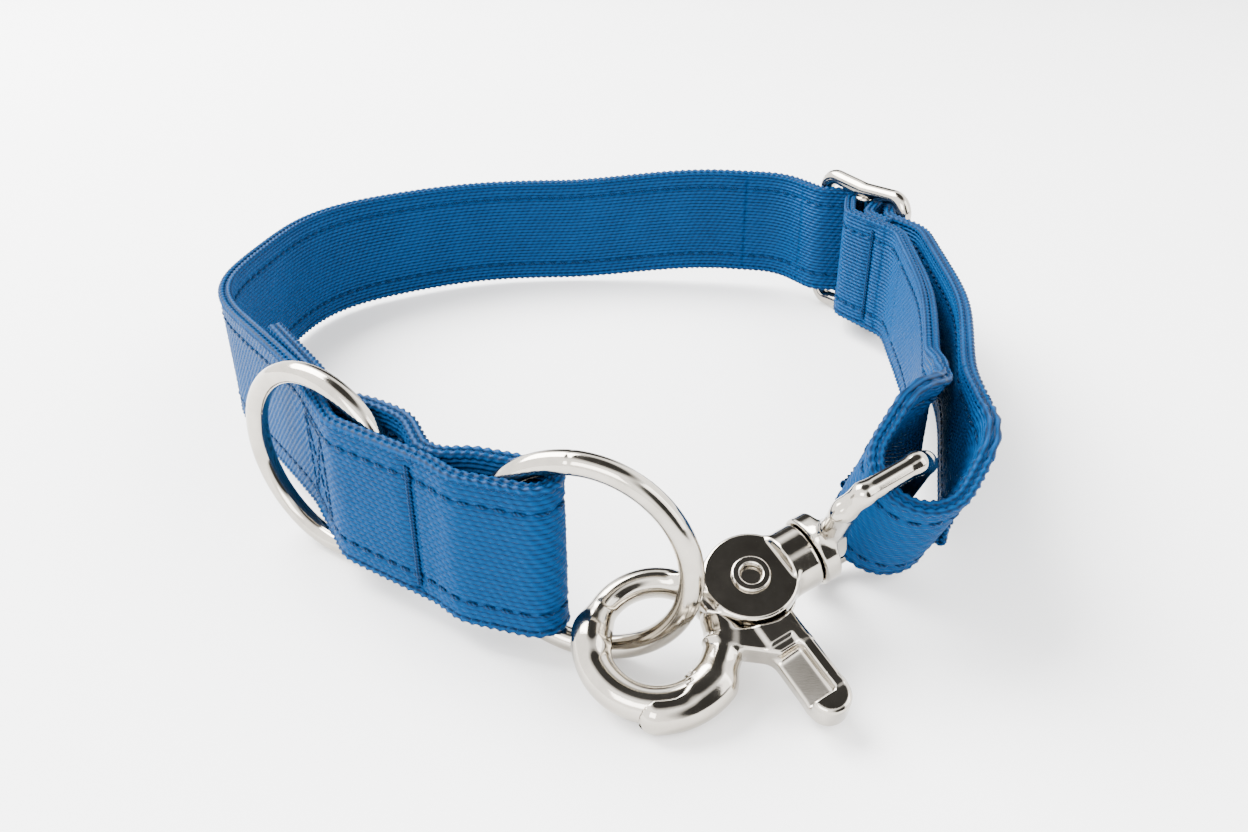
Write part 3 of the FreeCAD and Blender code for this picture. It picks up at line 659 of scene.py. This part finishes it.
def rounded_path(corners, step):
    """A smooth closed path through a loop of straight runs and corner arcs: (x, y, radius)."""
    path = []
    count = len(corners)
    for i in range(count):
        corner = np.array(corners[i][:2])
        radius = corners[i][2]
        into = unit(corner - np.array(corners[i - 1][:2]))
        out = unit(np.array(corners[(i + 1) % count][:2]) - corner)
        turn = math.atan2(into[0] * out[1] - into[1] * out[0], into @ out)
        reach = radius * math.tan(abs(turn) / 2)
        start = corner - into * reach
        side = math.copysign(1, turn)
        centre = start + np.array([-into[1], into[0]]) * side * radius
        first = math.atan2(*(start - centre)[::-1])
        pieces = max(2, int(radius * abs(turn) / step))
        for t in np.linspace(0, 1, pieces):
            angle = first + turn * t
            path.append(centre + radius * np.array([math.cos(angle), math.sin(angle)]))
    path.append(path[0])
    flat = np.array(path)
    flat = resample(np.concatenate([flat, np.zeros((len(flat), 1))], axis=1), step)
    return flat[:-1, :2]


def slide():
    """The slide: a bent wire frame with a dip in each rail, and its welded middle bar."""
    travel = unit(np.array(JOINTS["adjuster_slide"]["axis"]))
    centre = node_middle("slide_bar")
    points = np.array([v.co[:] for v in NODES["slide_frame"].data.vertices]) / MM - centre
    low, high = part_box("slide_bar")
    wire = (high.x - low.x) / MM / 2
    half_length = np.abs(points @ travel).max() - wire
    half_height = np.abs(points[:, 2]).max() - wire
    dip = 0.9
    corners = [(half_length, half_height, 3.2), (0, half_height - dip, 6.0), (-half_length, half_height, 3.2),
               (-half_length, -half_height, 3.2), (0, dip - half_height, 6.0),
               (half_length, -half_height, 3.2)]
    flat = rounded_path(corners, 0.4)
    path = centre + flat[:, :1] * travel + flat[:, 1:] * UP
    loop = swept("slide_frame_wire", path, wire, RING_PLATE, True)
    ends = [centre + UP * (high.z - low.z) / MM / 2 * s for s in (-1, 1)]
    bar = swept_bar("slide_middle_bar", ends[0], ends[1], wire)
    for piece, node in ((loop, "slide_frame"), (bar, "slide_bar")):
        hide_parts(node)
        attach(piece, "adjuster")


def swept_bar(name, start, finish, radius):
    """A straight bar, slightly swollen at both welded ends."""
    share = np.linspace(0, 1, 40)
    path = start + (finish - start) * share[:, None]
    weld = np.exp(-(share * 14) ** 2) + np.exp(-((1 - share) * 14) ** 2)
    way = unit(finish - start)
    side = unit(np.cross(way, [0.3, 0.9, 0.1]))
    normal = np.cross(side, way)
    angle = np.linspace(0, 2 * np.pi, 32, endpoint=False)
    size = radius * (1 + 0.12 * weld)[:, None]
    rings = (path[:, None, :] + side * (size * np.cos(angle))[..., None]
             + normal * (size * np.sin(angle))[..., None])
    uv = np.stack(np.broadcast_arrays(share[:, None] * 10, angle[None, :]), axis=-1)
    build = Build()
    build.rings(rings, uv)
    return build.finish(name, RING_PLATE)


# ---------------------------------------------------------------- castings
def arc_bar(p, centre, radius, start, finish, thick, tall):
    """A bar bent to part of a circle in the XY plane, with rounded ends; its section is an ellipse."""
    x = p[..., 0] - centre
    y = p[..., 1]
    middle = math.radians(start + finish) / 2
    half = math.radians(finish - start) / 2
    turn = (np.arctan2(y, x) - middle + np.pi) % (2 * np.pi) - np.pi
    turn = np.clip(turn, -half, half) + middle
    away = np.hypot(x - radius * np.cos(turn), y - radius * np.sin(turn))
    return (np.sqrt((away / thick) ** 2 + (p[..., 2] / tall) ** 2) - 1) * min(thick, tall)


def rod(p, start, finish, radius):
    start, finish = np.array(start, float), np.array(finish, float)
    along = finish - start
    share = np.clip(((p - start) @ along) / (along @ along), 0, 1)
    return np.linalg.norm(p - start - share[..., None] * along, axis=-1) - radius


def drum(p, axis, low, high, radius, rounding, centre=(0, 0)):
    """A round bar along X or Z, with rounded rims."""
    others = [i for i in range(3) if i != axis]
    out = np.hypot(p[..., others[0]] - centre[0], p[..., others[1]] - centre[1]) - (radius - rounding)
    end = np.abs(p[..., axis] - (low + high) / 2) - ((high - low) / 2 - rounding)
    return np.minimum(np.maximum(out, end), 0) + np.hypot(np.maximum(out, 0), np.maximum(end, 0)) - rounding


def slab(p, low, high, rounding):
    low, high = np.array(low, float), np.array(high, float)
    away = np.abs(p - (low + high) / 2) - ((high - low) / 2 - rounding)
    return (np.linalg.norm(np.maximum(away, 0), axis=-1)
            + np.minimum(away.max(axis=-1), 0) - rounding)


def joined(a, b, fillet):
    """Union of two shapes with a fillet between them."""
    share = np.clip(0.5 + 0.5 * (b - a) / fillet, 0, 1)
    return b * (1 - share) + a * share - fillet * share * (1 - share)


def carved(a, tool, softness):
    return -joined(-a, tool, softness)


def skin(field, low, high, step):
    """Quads on the surface where a field of signed distances is zero."""
    axes = [np.arange(a, b + step, step) for a, b in zip(low, high)]
    grid = np.stack(np.meshgrid(*axes, indexing="ij"), axis=-1).astype(np.float32)
    inside = field(grid) < 0
    many = [n - 1 for n in inside.shape]
    total = np.zeros(many, dtype=np.int8)
    for corner in np.ndindex(2, 2, 2):
        total += inside[tuple(slice(c, c + n) for c, n in zip(corner, many))]
    active = (total > 0) & (total < 8)
    index = np.full(many, -1)
    index[active] = np.arange(active.sum())
    points = grid[:-1, :-1, :-1][active].astype(float) + step / 2
    quads = []
    for axis in range(3):
        first, second = [i for i in range(3) if i != axis]
        ahead = np.take(inside, range(1, inside.shape[axis]), axis)
        behind = np.take(inside, range(inside.shape[axis] - 1), axis)
        for leaving in (True, False):
            cells = np.argwhere(behind & ~ahead if leaving else ahead & ~behind)
            keep = ((cells[:, first] > 0) & (cells[:, second] > 0)
                    & (cells[:, first] < many[first]) & (cells[:, second] < many[second]))
            cells = cells[keep]
            corners = []
            for back_first, back_second in ((0, 0), (1, 0), (1, 1), (0, 1)):
                shifted = cells.copy()
                shifted[:, first] -= back_first
                shifted[:, second] -= back_second
                corners.append(index[tuple(shifted.T)])
            quad = np.stack(corners, axis=1)
            flip = leaving != (axis == 1)
            quads.append(quad if flip else quad[:, ::-1])
    small = 0.02
    for _ in range(4):
        value = field(points)
        slope = np.stack([(field(points + small * np.eye(3)[i]) - field(points - small * np.eye(3)[i]))
                          / (2 * small) for i in range(3)], axis=1)
        shift = slope * (value / np.maximum((slope ** 2).sum(axis=1), 0.2))[:, None]
        points -= np.clip(shift, -step, step)
    return points, np.concatenate(quads).tolist()


PIVOT = np.array(JOINTS["trigger_pull"]["pos_m"]) / MM
STEM = unit(np.array(JOINTS["swivel"]["axis"], float))
FACE = unit(np.array(JOINTS["trigger_pull"]["axis"], float))
GRAIN = 0.2

DISC, CHEEK, SLOT = 6.8, 3.3, 1.3
HOOK_CENTRE, HOOK, HOOK_WIRE = -15.7, 9.3, 2.6
ARM, ARM_WIRE = 8.8, 2.1
BARREL, BARREL_END = 4.9, 9.5


def casting(name, field, low, high, top_axis, node, body):
    """Skins a casting in its own frame, with X along the stem, and puts it on its body."""
    points, quads = skin(field, low, high, GRAIN)
    across = np.cross(top_axis, STEM)
    world = PIVOT + points[:, :1] * STEM + points[:, 1:2] * across + points[:, 2:] * top_axis
    piece = mesh_object(name, world, quads, CAST_PLATE)
    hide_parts(node)
    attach(piece, body)
    return piece


def prism(p, corners, half, rounding):
    """An upright slab with a convex outline, its corners given in counterclockwise order."""
    out = np.full(p.shape[:-1], -1e3, dtype=p.dtype)
    for (ax, ay), (bx, by) in zip(corners, corners[1:] + corners[:1]):
        length = math.hypot(bx - ax, by - ay)
        side = ((p[..., 0] - ax) * (by - ay) - (p[..., 1] - ay) * (bx - ax)) / length
        out = np.maximum(out, side)
    out = out + rounding
    end = np.abs(p[..., 2]) - (half - rounding)
    return np.minimum(np.maximum(out, end), 0) + np.hypot(np.maximum(out, 0), np.maximum(end, 0)) - rounding


def hook_bar(p, clearance=0.0):
    return arc_bar(p, HOOK_CENTRE, HOOK, 140, 276, HOOK_WIRE + clearance, HOOK_WIRE + clearance)


def snap_body(p):
    """The snap's casting: a flat round head, the swivel barrel, and the hook that grows out of it."""
    shape = drum(p, 2, -CHEEK, CHEEK, DISC, 0.5)
    shape = joined(shape, drum(p, 0, DISC - 1.6, BARREL_END, BARREL, 0.4), 0.8)
    arm = arc_bar(p, HOOK_CENTRE, ARM, 14, 150, ARM_WIRE, HOOK_WIRE)
    wall = prism(p, [(-4.9, -4.6), (1, 0), (-3.5, 5.6), (-8.6, 5.6), (-8.3, -1.2)], CHEEK - 0.5, 0.4)
    shape = joined(shape, wall, 0.7)
    shape = joined(shape, joined(arm, hook_bar(p), 2.0), 1.6)
    rooms = np.minimum(drum(p, 2, -SLOT, SLOT, 5.1, 0.05),
                       slab(p, (-10.8, -7.8, -SLOT), (4.2, 0, SLOT), 0.05))
    bore = np.minimum(drum(p, 0, 5.6, 12, 2.1, 0.0), drum(p, 0, 5.45, 7.05, 3.35, 0.0))
    rooms = np.minimum(rooms, bore)
    rooms = np.minimum(rooms, drum(p, 2, -9, 9, 1.62, 0.0))
    return carved(shape, rooms, 0.18)


LEVER_RIGHT, LEVER_LEFT, LEVER_TIP, LEVER_HALF = 2.1, -3.7, -19.4, 2.6
RIB_WIDTH = 1.9


def trigger(p):
    """The trigger: a jaw that closes the hook, a hub between the cheeks, and a ribbed thumb lever."""
    jaw = arc_bar(p, HOOK_CENTRE, HOOK, 272, 346, 2.8, 2.8)
    cradle = arc_bar(p, HOOK_CENTRE, HOOK + 1.1, 238, 290, 2.9, 2.9)
    jaw = carved(joined(jaw, cradle, 1.2), hook_bar(p, 0.15), 0.12)
    radius = (LEVER_RIGHT - LEVER_LEFT) / 2
    lever = slab(p, (LEVER_LEFT, LEVER_TIP, -LEVER_HALF), (LEVER_RIGHT, -4.5, LEVER_HALF), 0.7)
    tip = drum(p, 2, -LEVER_HALF, LEVER_HALF, radius, 0.8, (LEVER_RIGHT - radius, LEVER_TIP))
    lever = joined(lever, tip, 0.5)
    # the thumb channel is open on one side, and its floor falls away towards that side
    sloping = p.copy()
    sloping[..., 2] = p[..., 2] - 0.22 * (p[..., 0] - LEVER_LEFT) + 0.5
    channel = slab(sloping, (LEVER_LEFT - 3, LEVER_TIP + 0.2, 0.5), (LEVER_RIGHT - RIB_WIDTH, -9.6, 6), 0.4)
    lever = carved(lever, channel, 0.4)
    shoulder = prism(p, [(-10.2, -4.0), (-7.2, -8.0), (-3.0, -11.5), (1.6, -11.5), (0.6, -8.2), (-5.8, -5.3)],
                     2.4, 0.5)
    shape = joined(joined(jaw, lever, 1.6), shoulder, 1.0)
    shape = carved(shape, drum(p, 2, -14, 14, DISC + 0.3, 0.0), 0.5)
    hub = np.minimum(drum(p, 2, -1.15, 1.15, 4.8, 0.1),
                     np.minimum(slab(p, (-3.3, -8.3, -1.15), (1.7, 0, 1.15), 0.1),
                                slab(p, (-8.4, -6.2, -1.15), (0, -1.6, 1.15), 0.1)))
    shape = joined(shape, hub, 0.5)
    return carved(shape, drum(p, 2, -9, 9, 1.65, 0.0), 0.1)


EYE_NEAR, EYE_REACH, EYE_HALF, EYE_WIRE = 13.4, 27.3, 14.9, 1.6
EYE_FOOT, EYE_BASE = 9.8, 5.3


def swivel_eye(p):
    """The eye's casting: a collar against the barrel, a broad yoke, and the wire loop for the strap."""
    collar = drum(p, 0, EYE_FOOT, EYE_FOOT + 2.7, EYE_BASE, 0.45)
    neck = drum(p, 0, EYE_FOOT + 1, EYE_NEAR + 2.0, 3.1, 1.0)
    shape = joined(collar, neck, 1.4)
    flat = p * np.array([0.62, 1.0, 1.0])
    yoke = rod(flat, (EYE_NEAR * 0.62 + 0.2, 0, 3 - EYE_HALF), (EYE_NEAR * 0.62 + 0.2, 0, EYE_HALF - 3), 1.7)
    shape = joined(shape, yoke, 1.6)
    bend = 2.4
    for side in (-1, 1):
        top = side * EYE_HALF
        loop = [(EYE_NEAR, 0, top - side * bend), (EYE_NEAR + bend, 0, top), (EYE_REACH - bend, 0, top),
                (EYE_REACH, 0, top - side * bend), (EYE_REACH, 0, 0)]
        for a, b in zip(loop, loop[1:]):
            shape = joined(shape, rod(p, a, b, EYE_WIRE), 0.7)
    return shape


def rivet(p):
    """The hollow rivet: two flared heads and a drilled shank."""
    top = CHEEK + 0.6
    shape = np.minimum(drum(p, 2, CHEEK, top, 2.8, 0.28), drum(p, 2, -top, -CHEEK, 2.8, 0.28))
    shape = np.minimum(shape, drum(p, 2, -CHEEK - 0.2, CHEEK + 0.2, 1.6, 0.0))
    for side in (-1, 1):
        centre = side * (top + 0.3)
        mouth = drum(p, 2, min(centre, centre - side * 1.4), max(centre, centre - side * 1.4), 1.55, 0.3)
        shape = carved(shape, mouth, 0.35)
    return shape


def castings():
    eye_up = BAR_AXIS
    casting("snap_casting", snap_body, (-29, -14, -6), (11, 14, 6), FACE, "snap_body", "snap")
    casting("trigger_casting", trigger, (-24, -25, -5), (6, 8, 5), FACE, "trigger", "trigger")
    casting("rivet_casting", rivet, (-4, -4, -5), (4, 4, 5), FACE, "pivot_rivet", "snap")
    casting("eye_casting", swivel_eye, (8, -7, -18), (31, 7, 18), eye_up, "swivel_eye", "eye")


# ---------------------------------------------------------------- the collar
BODY_OF = {"slide_crossing": "adjuster", "slide_fold": "adjuster"}
SLACK = ("slide_approach", "slide_exit", "slide_return")


def settle(piece, stretch):
    """Rides a piece of strap on its body, or leaves a piece between the collar and the slide unattached, its
    placement baked into its mesh.
    """
    if stretch in SLACK:
        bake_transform(piece)
    else:
        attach(piece, BODY_OF.get(stretch, "collar"))


for name in ROUTE:
    settle(webbing(name), name)
    stitches = edge_stitches(name).finish("stitches_" + name, THREAD)
    if name == "neck_band":
        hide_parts("lower_stitch_row", "upper_stitch_row")
    settle(stitches, name)

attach(bar_tack("front_seam", 10.6), "collar")
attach(bar_tack("slide_seam", 10.6), "adjuster")
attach(cross_box(), "collar")
welded_ring("end_ring", math.radians(95))
welded_ring("leash_ring", math.radians(160))
slide()
castings()
for hidden, finish in (("swivel_post", CAST_PLATE), ("gate_spring", SPRING)):
    NODES[hidden].data.materials.clear()
    NODES[hidden].data.materials.append(finish)

# ---------------------------------------------------------------- studio
TILT = 30.0
CAMERA_PLACE = Vector((8.0, -187.0, 107.0)) * MM
LENS = 30.29


def camera():
    data = bpy.data.cameras.new("camera")
    data.lens = LENS
    data.sensor_width = 36.0
    data.clip_start = 0.01
    made = bpy.data.objects.new("camera", data)
    made.location = CAMERA_PLACE
    made.rotation_euler = (math.radians(90 - TILT), 0, 0)
    bpy.context.scene.collection.objects.link(made)
    bpy.context.scene.camera = made


def softbox(name, place, target, width, height, power):
    data = bpy.data.lights.new(name, "AREA")
    data.shape = "RECTANGLE"
    data.size = width
    data.size_y = height
    data.energy = power
    made = bpy.data.objects.new(name, data)
    made.location = place
    made.rotation_euler = (Vector(target) - Vector(place)).to_track_quat("-Z", "Y").to_euler()
    bpy.context.scene.collection.objects.link(made)


# Black cards that the plate mirrors as its dark bands: their directions, and the cosines of the angles
# where each starts to darken the white tent and where it is full black.
BLACK_CARDS = [((0.04, 0.05, 0.998), 0.78, 0.93), ((0.62, -0.68, 0.39), 0.80, 0.92),
               ((0.0, 0.94, 0.34), 0.90, 0.97)]


def black_card(tree, place, way, near, far):
    """1 in the open tent, falling to nearly 0 in one direction."""
    facing = add(tree, "ShaderNodeVectorMath", {"operation": "DOT_PRODUCT", 1: way}, {0: place})
    fall = add(tree, "ShaderNodeMapRange",
               {"From Min": near, "From Max": far, "To Min": 1.0, "To Max": 0.02},
               {"Value": facing.outputs["Value"]})
    return fall.outputs[0]


def studio():
    """A white paper sweep in a white tent with soft side light and three black cards."""
    bpy.ops.mesh.primitive_plane_add(size=6.0, location=(0, 1.0, 0))
    floor = bpy.context.object
    floor.name = "paper"
    floor.data.materials.append(paper_sweep())
    world = bpy.data.worlds.new("studio")
    bpy.context.scene.world = world
    world.use_nodes = True
    tree = world.node_tree
    place = add(tree, "ShaderNodeTexCoord").outputs["Generated"]
    shades = [black_card(tree, place, way, near, far) for way, near, far in BLACK_CARDS]
    shade = shades[0]
    for other in shades[1:]:
        shade = add(tree, "ShaderNodeMath", {"operation": "MULTIPLY"}, {0: shade, 1: other}).outputs[0]
    colour = ramp(tree, shade, [(0.0, "#0A0908"), (1.0, "#FFFFFF")])
    background = tree.nodes["Background"]
    tree.links.new(colour.outputs[0], background.inputs["Color"])
    background.inputs["Strength"].default_value = 4.6
    softbox("key", (-0.55, 0.35, 0.75), (0, 0, 0), 0.7, 0.7, 46.0)
    softbox("fill", (0.75, -0.35, 0.5), (0, 0, 0), 0.5, 0.8, 8.0)
    softbox("front", (-0.35, -0.8, 0.45), (0, 0, 0.02), 0.5, 0.4, 8.0)


camera()
studio()
